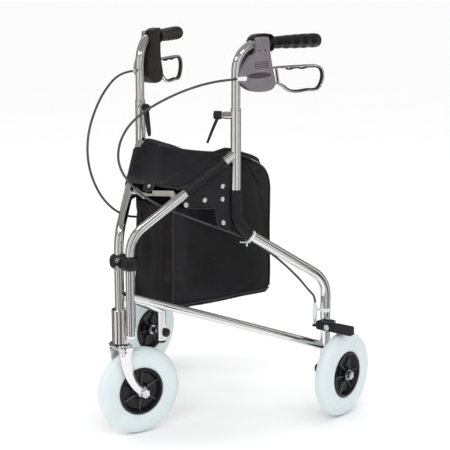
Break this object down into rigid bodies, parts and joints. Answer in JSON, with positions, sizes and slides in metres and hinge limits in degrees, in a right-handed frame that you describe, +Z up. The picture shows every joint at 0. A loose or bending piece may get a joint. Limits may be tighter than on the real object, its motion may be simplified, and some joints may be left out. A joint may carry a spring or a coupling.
{
  "type": "three-wheel rollator walker",
  "caption": "Folding three-wheel walker with adjustable handles, loop brakes and a storage bag.",
  "frame": {"origin": "on the floor under the middle of the walker's box, without its brake cables", "axes": "+Z up, rolls towards -Y, the user's left is +X"},
  "size_m": [0.648, 0.5442, 0.846],
  "materials": {
    "chrome": "bright plated steel tube",
    "zinc": "zinc plated",
    "black_plastic": "moulded, fine texture",
    "grey_plastic": "moulded, satin",
    "white_plastic": "natural nylon",
    "grip_rubber": "glossy vinyl",
    "tyre": "pale solid polyurethane",
    "vinyl": "grained coated fabric",
    "cable_sleeve": "smooth plastic sleeve"
  },
  "bodies": {
    "right_frame": {"right_main_tube": "chrome", "right_front_tube": "chrome", "right_lower_bar": "chrome", "right_leg_cap": "black_plastic", "right_post_bush": "black_plastic", "caster_housing": "chrome", "caster_bearings": "zinc", "hinge_bracket": "black_plastic", "bracket_bolts": "zinc", "right_cable": "cable_sleeve", "right_cable_adjuster": "white_plastic", "right_arm_bolt": "zinc", "right_return_spring": "zinc", "right_rear_axle": "zinc", "right_sleeve": "vinyl", "bag_body": "vinyl", "bag_flap": "vinyl"},
    "left_frame": {"left_main_tube": "chrome", "left_front_tube": "chrome", "left_lower_bar": "chrome", "left_leg_cap": "black_plastic", "left_post_bush": "black_plastic", "left_post_cap": "black_plastic", "left_cable": "cable_sleeve", "left_cable_adjuster": "white_plastic", "left_arm_bolt": "zinc", "left_return_spring": "zinc", "left_rear_axle": "zinc", "left_sleeve": "vinyl", "left_studs": "zinc"},
    "caster": {"fork": "chrome", "stem_nut": "zinc", "front_axle": "zinc"},
    "front_wheel": {"front_tyre": "tyre", "front_rim": "black_plastic", "front_bearings": "zinc"},
    "right_spreader": {"right_link": "zinc", "apex_rivet": "zinc"},
    "left_spreader": {"left_link": "zinc"},
    "left_handle": {"left_handle_tube": "chrome", "left_grip": "grip_rubber", "left_brake_housing": "grey_plastic", "left_lever_pin": "zinc"},
    "left_lever": {"left_brake_lever": "chrome"},
    "left_clamp": {"left_clamp_lever": "black_plastic"},
    "left_arm": {"left_brake_arm": "black_plastic"},
    "left_wheel": {"left_rear_tyre": "tyre", "left_rear_rim": "black_plastic", "left_rear_bearings": "zinc"},
    "right_handle": {"right_handle_tube": "chrome", "right_grip": "grip_rubber", "right_brake_housing": "grey_plastic", "right_lever_pin": "zinc"},
    "right_lever": {"right_brake_lever": "chrome"},
    "right_clamp": {"right_clamp_lever": "black_plastic"},
    "right_arm": {"right_brake_arm": "black_plastic"},
    "right_wheel": {"right_rear_tyre": "tyre", "right_rear_rim": "black_plastic", "right_rear_bearings": "zinc"}
  },
  "joints": [
    {"name": "fold", "type": "hinge", "parent": "right_frame", "child": "left_frame", "pos_m": [0.0155, -0.21805, 0.383], "axis": [0, 0, 1], "range_deg": [0, 40], "deforming": ["bag_body", "bag_flap", "left_cable"]},
    {"name": "right_link_swing", "type": "hinge", "parent": "right_frame", "child": "right_spreader", "pos_m": [-0.05241, -0.11829, 0.514], "axis": [0, 0, 1], "range_deg": [-42, 1]},
    {"name": "left_link_swing", "type": "hinge", "parent": "left_frame", "child": "left_spreader", "pos_m": [0.05241, -0.11829, 0.517], "axis": [0, 0, 1], "range_deg": [-1, 4]},
    {"name": "caster_swivel", "type": "hinge", "parent": "right_frame", "child": "caster", "pos_m": [-0.0155, -0.21805, 0.23], "axis": [0, 0, 1], "continuous": true},
    {"name": "front_wheel_spin", "type": "hinge", "parent": "caster", "child": "front_wheel", "pos_m": [-0.00045, -0.17884, 0.095], "axis": [-0.9336, 0.3584, 0], "continuous": true},
    {"name": "left_height", "type": "slide", "parent": "left_frame", "child": "left_handle", "axis": [0, 0, 1], "range_m": [-0.03, 0.08], "deforming": ["left_cable"]},
    {"name": "left_clamp_turn", "type": "hinge", "parent": "left_frame", "child": "left_clamp", "pos_m": [0.1327, -0.0109, 0.68], "axis": [-0.866, -0.5, 0], "range_deg": [-90, 90]},
    {"name": "left_brake_squeeze", "type": "hinge", "parent": "left_handle", "child": "left_lever", "pos_m": [0.15177, 0.05228, 0.76], "axis": [0.9573, -0.289, 0], "range_deg": [0, 12], "stiffness_Nm_per_rad": 1.5, "springref_deg": -17.19},
    {"name": "left_arm_press", "type": "hinge", "parent": "left_frame", "child": "left_arm", "pos_m": [0.26204, 0.16084, 0.203], "axis": [0, 1, 0], "range_deg": [0, 6.5], "deforming": ["left_return_spring"]},
    {"name": "left_wheel_spin", "type": "hinge", "parent": "left_frame", "child": "left_wheel", "pos_m": [0.28654, 0.17884, 0.095], "axis": [1, 0, 0], "continuous": true},
    {"name": "right_height", "type": "slide", "parent": "right_frame", "child": "right_handle", "axis": [0, 0, 1], "range_m": [-0.03, 0.08], "deforming": ["right_cable"]},
    {"name": "right_clamp_turn", "type": "hinge", "parent": "right_frame", "child": "right_clamp", "pos_m": [-0.1327, -0.0109, 0.68], "axis": [0.866, -0.5, 0], "range_deg": [-90, 90]},
    {"name": "right_brake_squeeze", "type": "hinge", "parent": "right_handle", "child": "right_lever", "pos_m": [-0.15177, 0.05228, 0.76], "axis": [0.9573, 0.289, 0], "range_deg": [0, 12], "stiffness_Nm_per_rad": 1.5, "springref_deg": -17.19},
    {"name": "right_arm_press", "type": "hinge", "parent": "right_frame", "child": "right_arm", "pos_m": [-0.26204, 0.16084, 0.203], "axis": [0, -1, 0], "range_deg": [0, 6.5], "deforming": ["right_return_spring"]},
    {"name": "right_wheel_spin", "type": "hinge", "parent": "right_frame", "child": "right_wheel", "pos_m": [-0.28654, 0.17884, 0.095], "axis": [1, 0, 0], "continuous": true}
  ],
  "couplings": [
    {"joint": "right_link_swing", "follows": "fold", "ratio": -1.025},
    {"joint": "left_link_swing", "follows": "fold", "ratio": 0.06},
    {"joint": "left_arm_press", "follows": "left_brake_squeeze", "ratio": 0.53},
    {"joint": "right_arm_press", "follows": "right_brake_squeeze", "ratio": 0.53}
  ]
}
